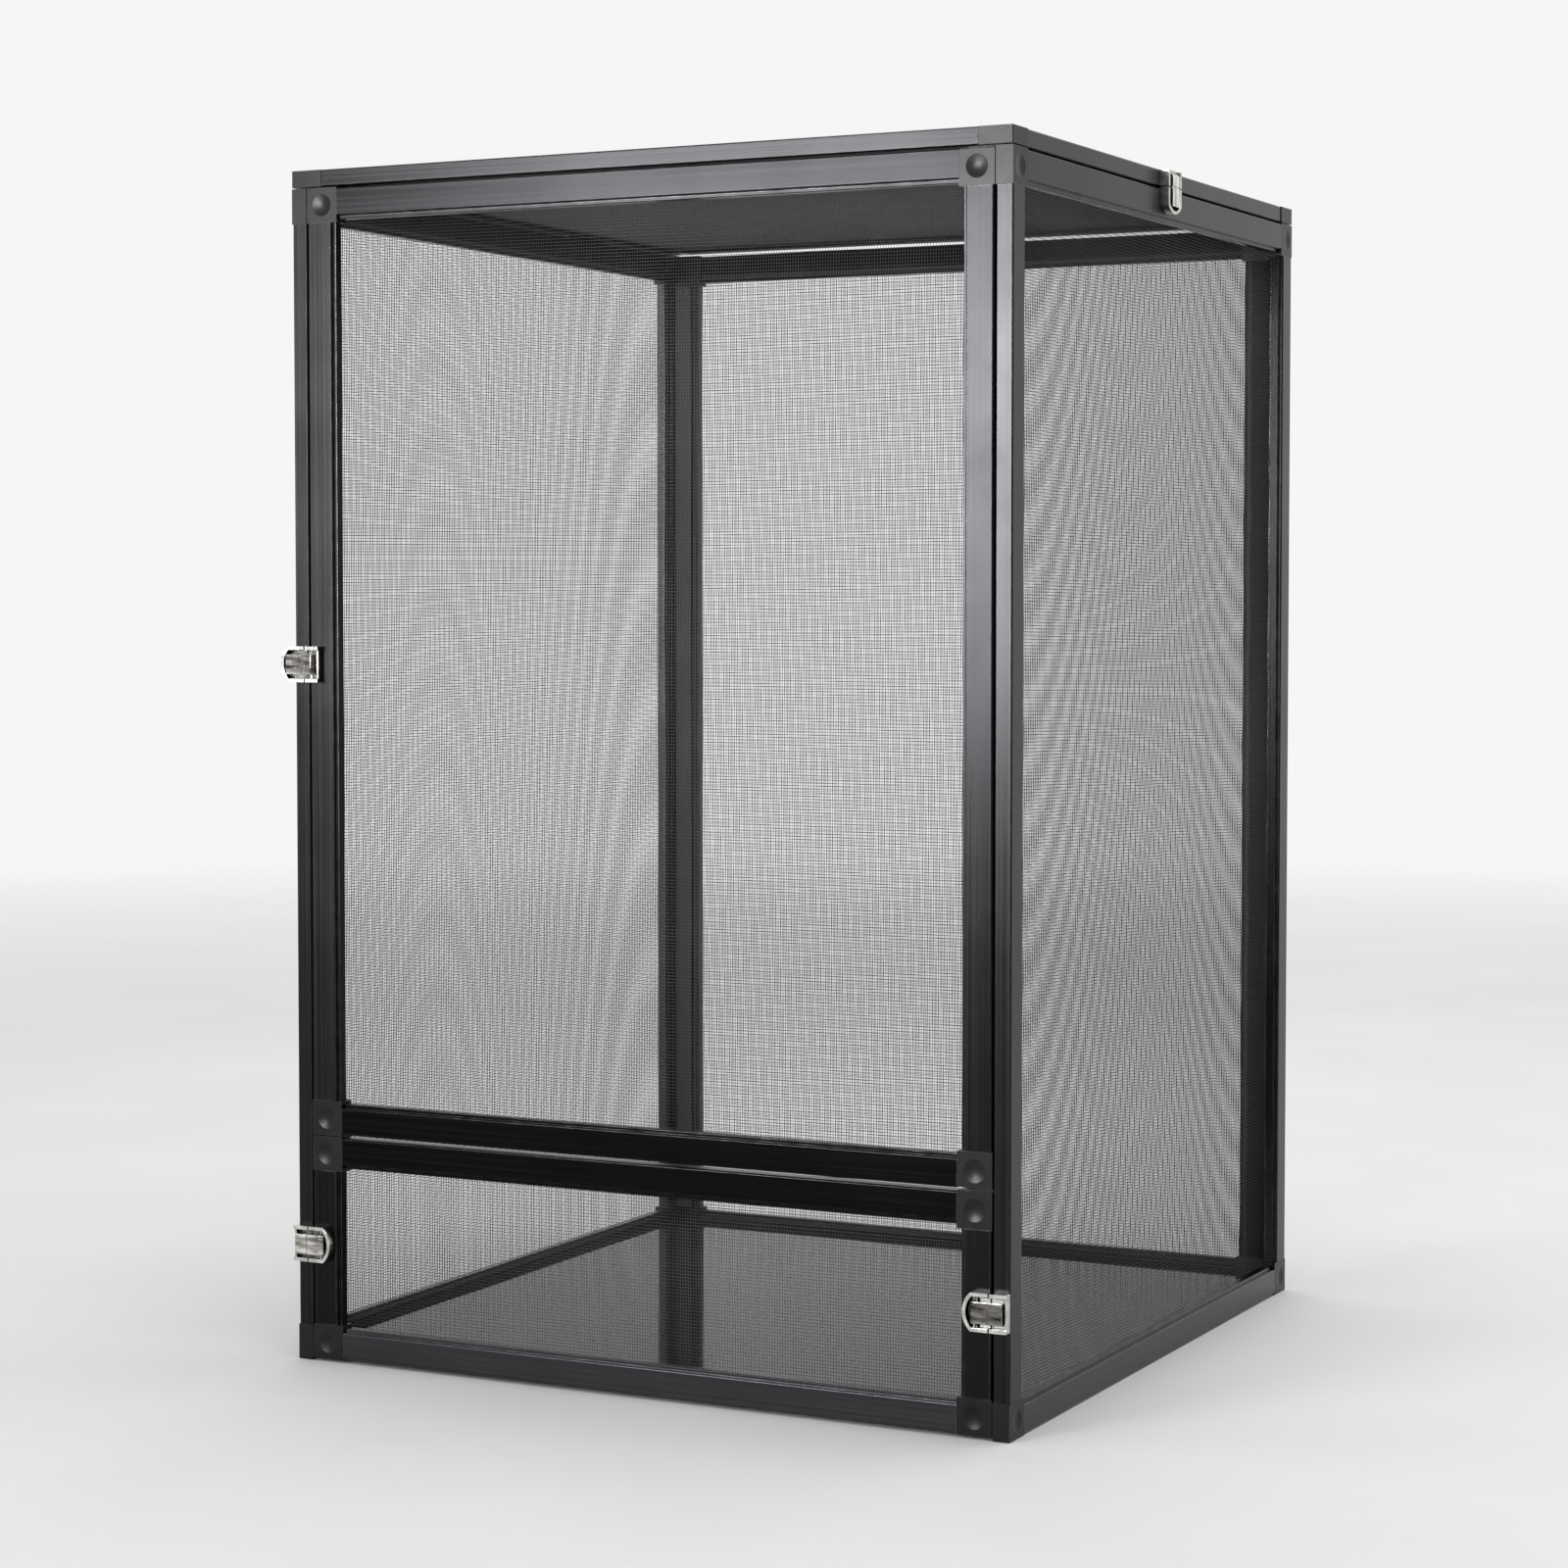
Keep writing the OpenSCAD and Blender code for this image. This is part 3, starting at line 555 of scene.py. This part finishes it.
def rail_finishes(rails):
    """One material for each panel, each direction of its rails and each kind of tone."""
    wanted = {}
    for node in rails:
        usual = "dusty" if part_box(node)[1].z < GREYISH_BELOW else "plain"
        wanted[node] = (panel_of(node), longest_axis(node), RAIL_KINDS.get(node, usual))
    made = {want: anodised_rail(*want) for want in sorted(set(wanted.values()))}
    return {node: made[want] for node, want in wanted.items()}


def dress_cad_nodes(finishes):
    """Give each CAD node its material, by its own name or its slot, and its rounded edges."""
    slots = {part["node"]: part["material_slot"] for part in frame["record"]["subparts"]}
    finishes.update(rail_finishes([node for node in slots if slots[node] == "frame_rail"]))
    for node, slot in slots.items():
        piece = bpy.data.objects[node]
        piece.material_slots[0].material = finishes.get(node) or finishes[slot]
        if slot in EDGES:
            soften_edges(piece, *EDGES[slot])
        if slot == "corner_cap":
            even_shading(piece)


def add_prism(points, faces, start, end, run, radius):
    """One wire from start to end along the axis named run."""
    first = len(points)
    side, up = [axis for axis in range(3) if axis != run]
    for middle in (start, end):
        for step in range(WIRE_SIDES):
            angle = 2 * math.pi * step / WIRE_SIDES
            point = middle.copy()
            point[side] += radius * math.cos(angle)
            point[up] += radius * math.sin(angle)
            points.append(point)
    near = [first + step for step in range(WIRE_SIDES)]
    far = [first + WIRE_SIDES + step for step in range(WIRE_SIDES)]
    for step in range(WIRE_SIDES):
        after = (step + 1) % WIRE_SIDES
        faces.append((near[step], near[after], far[after], far[step]))
    faces.append(tuple(reversed(near)))
    faces.append(tuple(far))


def wire_span(offset, slope, half_run, half_across):
    """Where a wire starts and stops along its run to stay on the sheet, whose corners are cut out."""
    spans = []
    for cut_run, cut_across in ((0, CORNER_CUT), (CORNER_CUT, 0)):
        reach = half_across - cut_across - WIRE_D / 2
        leave = sorted(((-reach - offset) / slope, (reach - offset) / slope))
        start = max(cut_run - half_run, leave[0])
        stop = min(half_run - cut_run, leave[1])
        if stop - start > WIRE_D:
            spans.append((start, stop))
    return spans and (min(span[0] for span in spans), max(span[1] for span in spans))


def add_wires(points, faces, middle, half, run, across, slope, pitch):
    """All wires of one direction, spread evenly over the sheet."""
    reach = half[across] + abs(slope) * half[run]
    count = int(2 * reach / pitch)
    for index in range(count + 1):
        offset = (index - count / 2) * pitch
        span = wire_span(offset, slope, half[run], half[across])
        if not span:
            continue
        ends = []
        for along in span:
            end = middle.copy()
            end[run] += along
            end[across] += offset + slope * along
            ends.append(end)
        add_prism(points, faces, *ends, run, WIRE_D / 2)


def add_piece(mesh, node, place=(0, 0, 0), turn=(0, 0, 0)):
    """A new piece that rides on the body of a CAD node."""
    piece = bpy.data.objects.new(mesh.name, mesh)
    piece.location = place
    piece.rotation_euler = turn
    bpy.context.collection.objects.link(piece)
    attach(piece, bpy.data.objects[node]["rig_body"])
    return piece


def screen_wires(node, material):
    """The crossing wires of one screen, in place of its plain CAD sheet."""
    low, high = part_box(node)
    half = (high - low) / 2
    depth = min(range(3), key=lambda axis: half[axis])
    first, second = [axis for axis in range(3) if axis != depth]
    first_pitch, second_pitch, turn = WEAVES[node]
    slope = math.tan(math.radians(turn))
    points, faces = [], []
    layers = (
        (first, second, slope, 0.5, first_pitch),
        (second, first, -slope, -0.5, second_pitch),
    )
    for run, across, lean, layer, pitch in layers:
        middle = (low + high) / 2
        middle[depth] += layer * WIRE_LAYER
        add_wires(points, faces, middle, half, run, across, lean, pitch)
    mesh = bpy.data.meshes.new(node + "_wires")
    mesh.from_pydata(points, [], faces)
    mesh.shade_smooth()
    mesh.materials.append(material)
    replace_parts(add_piece(mesh, node), node)


def add_outline(curve, corners):
    """A closed outline of straight sides."""
    spline = curve.splines.new("POLY")
    spline.points.add(len(corners) - 1)
    for point, corner in zip(spline.points, corners):
        point.co = (*corner, 0, 1)
    spline.use_cyclic_u = True


def screw_mesh(material):
    """A rounded screw head with a cross recess, facing -X."""
    curve = bpy.data.curves.new("screw_outline", "CURVE")
    curve.dimensions = "2D"
    curve.fill_mode = "BOTH"
    curve.extrude = SCREW_HEAD_H / 2 - SCREW_ROUNDING
    curve.bevel_depth = SCREW_ROUNDING
    curve.bevel_resolution = 3
    curve.offset = -SCREW_ROUNDING
    turns = [2 * math.pi * step / SCREW_STEPS for step in range(SCREW_STEPS)]
    rim = [(SCREW_HEAD_R * math.cos(turn), SCREW_HEAD_R * math.sin(turn)) for turn in turns]
    add_outline(curve, rim)
    near = SCREW_SLOT_W / 2
    far = SCREW_SLOT_L / 2
    quarter = [(far, -near), (far, near), (near, near)]
    cross = []
    for turn in ((1, 0), (0, 1), (-1, 0), (0, -1)):
        cross += [(x * turn[0] - y * turn[1], x * turn[1] + y * turn[0]) for x, y in quarter]
    add_outline(curve, cross)
    shape = bpy.data.objects.new("screw_outline", curve)
    mesh = bpy.data.meshes.new_from_object(shape)
    bpy.data.objects.remove(shape)
    mesh.name = "hinge_screw"
    mesh.transform(Matrix.Rotation(-math.pi / 2, 4, "Y"))
    mesh.materials.clear()
    mesh.materials.append(material)
    return mesh


def hinge_screws(material):
    """Two screws in each leaf of the lid hinges, each turned to an angle that its place gives."""
    mesh = screw_mesh(material)
    for node, height in SCREW_HEIGHTS.items():
        low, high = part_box(node)
        for hinge in (-1, 1):
            for end in (-1, 1):
                y = (low.y + high.y + hinge * HINGE_SPACING + end * SCREW_SPACING) / 2
                place = (LEAF_FACE_X - SCREW_HEAD_H / 2, y, height)
                turn = (y / MM, 0, 0)
                add_piece(mesh, node, place, turn)


# Studio

def make_floor():
    """A round floor that fades out into the pale surroundings."""
    rim = [2 * math.pi * step / FLOOR_STEPS for step in range(FLOOR_STEPS)]
    points = [(FLOOR_R * math.cos(angle), FLOOR_R * math.sin(angle), -FLOOR_DROP) for angle in rim]
    mesh = bpy.data.meshes.new("studio_floor")
    mesh.from_pydata(points, [], [tuple(range(FLOOR_STEPS))])
    mesh.materials.append(pale_floor())
    floor = bpy.data.objects.new("studio_floor", mesh)
    bpy.context.collection.objects.link(floor)


def soft_light(name, place, target, size, power, spread):
    """A rectangular soft light that faces a point, with a grid that narrows its spread in degrees."""
    light = bpy.data.lights.new(name, "AREA")
    light.shape = "RECTANGLE"
    light.size, light.size_y = size
    light.energy = power
    light.spread = math.radians(spread)
    lamp = bpy.data.objects.new(name, light)
    lamp.location = place
    lamp.rotation_euler = (Vector(target) - Vector(place)).to_track_quat("-Z", "Y").to_euler()
    lamp.visible_camera = False
    bpy.context.collection.objects.link(lamp)


def make_light():
    """The soft lights and the even pale light from all around."""
    for name, values in LIGHTS.items():
        soft_light(name, *values)
    world = bpy.data.worlds.new("studio")
    world.use_nodes = True
    background = world.node_tree.nodes["Background"]
    background.inputs["Color"].default_value = WORLD_COLOR
    background.inputs["Strength"].default_value = WORLD_STRENGTH
    bpy.context.scene.world = world
    bpy.context.scene.view_settings.view_transform = "Standard"


def make_camera():
    """The camera that sees the cage as the photograph does."""
    lens = bpy.data.cameras.new("photo_camera")
    lens.lens = CAMERA_LENS
    lens.shift_y = CAMERA_SHIFT_Y
    camera = bpy.data.objects.new("photo_camera", lens)
    camera.location = CAMERA_PLACE
    camera.rotation_euler = (math.pi / 2 + CAMERA_TILT, 0, CAMERA_PAN)
    bpy.context.collection.objects.link(camera)
    bpy.context.scene.camera = camera


finishes = make_finishes()
dress_cad_nodes(finishes)
for node in [name for name in frame["nodes"] if name.endswith("_mesh")]:
    screen_wires(node, finishes.get(node) or finishes["screen"])
hinge_screws(finishes["steel_hinge"])
make_floor()
make_light()
make_camera()
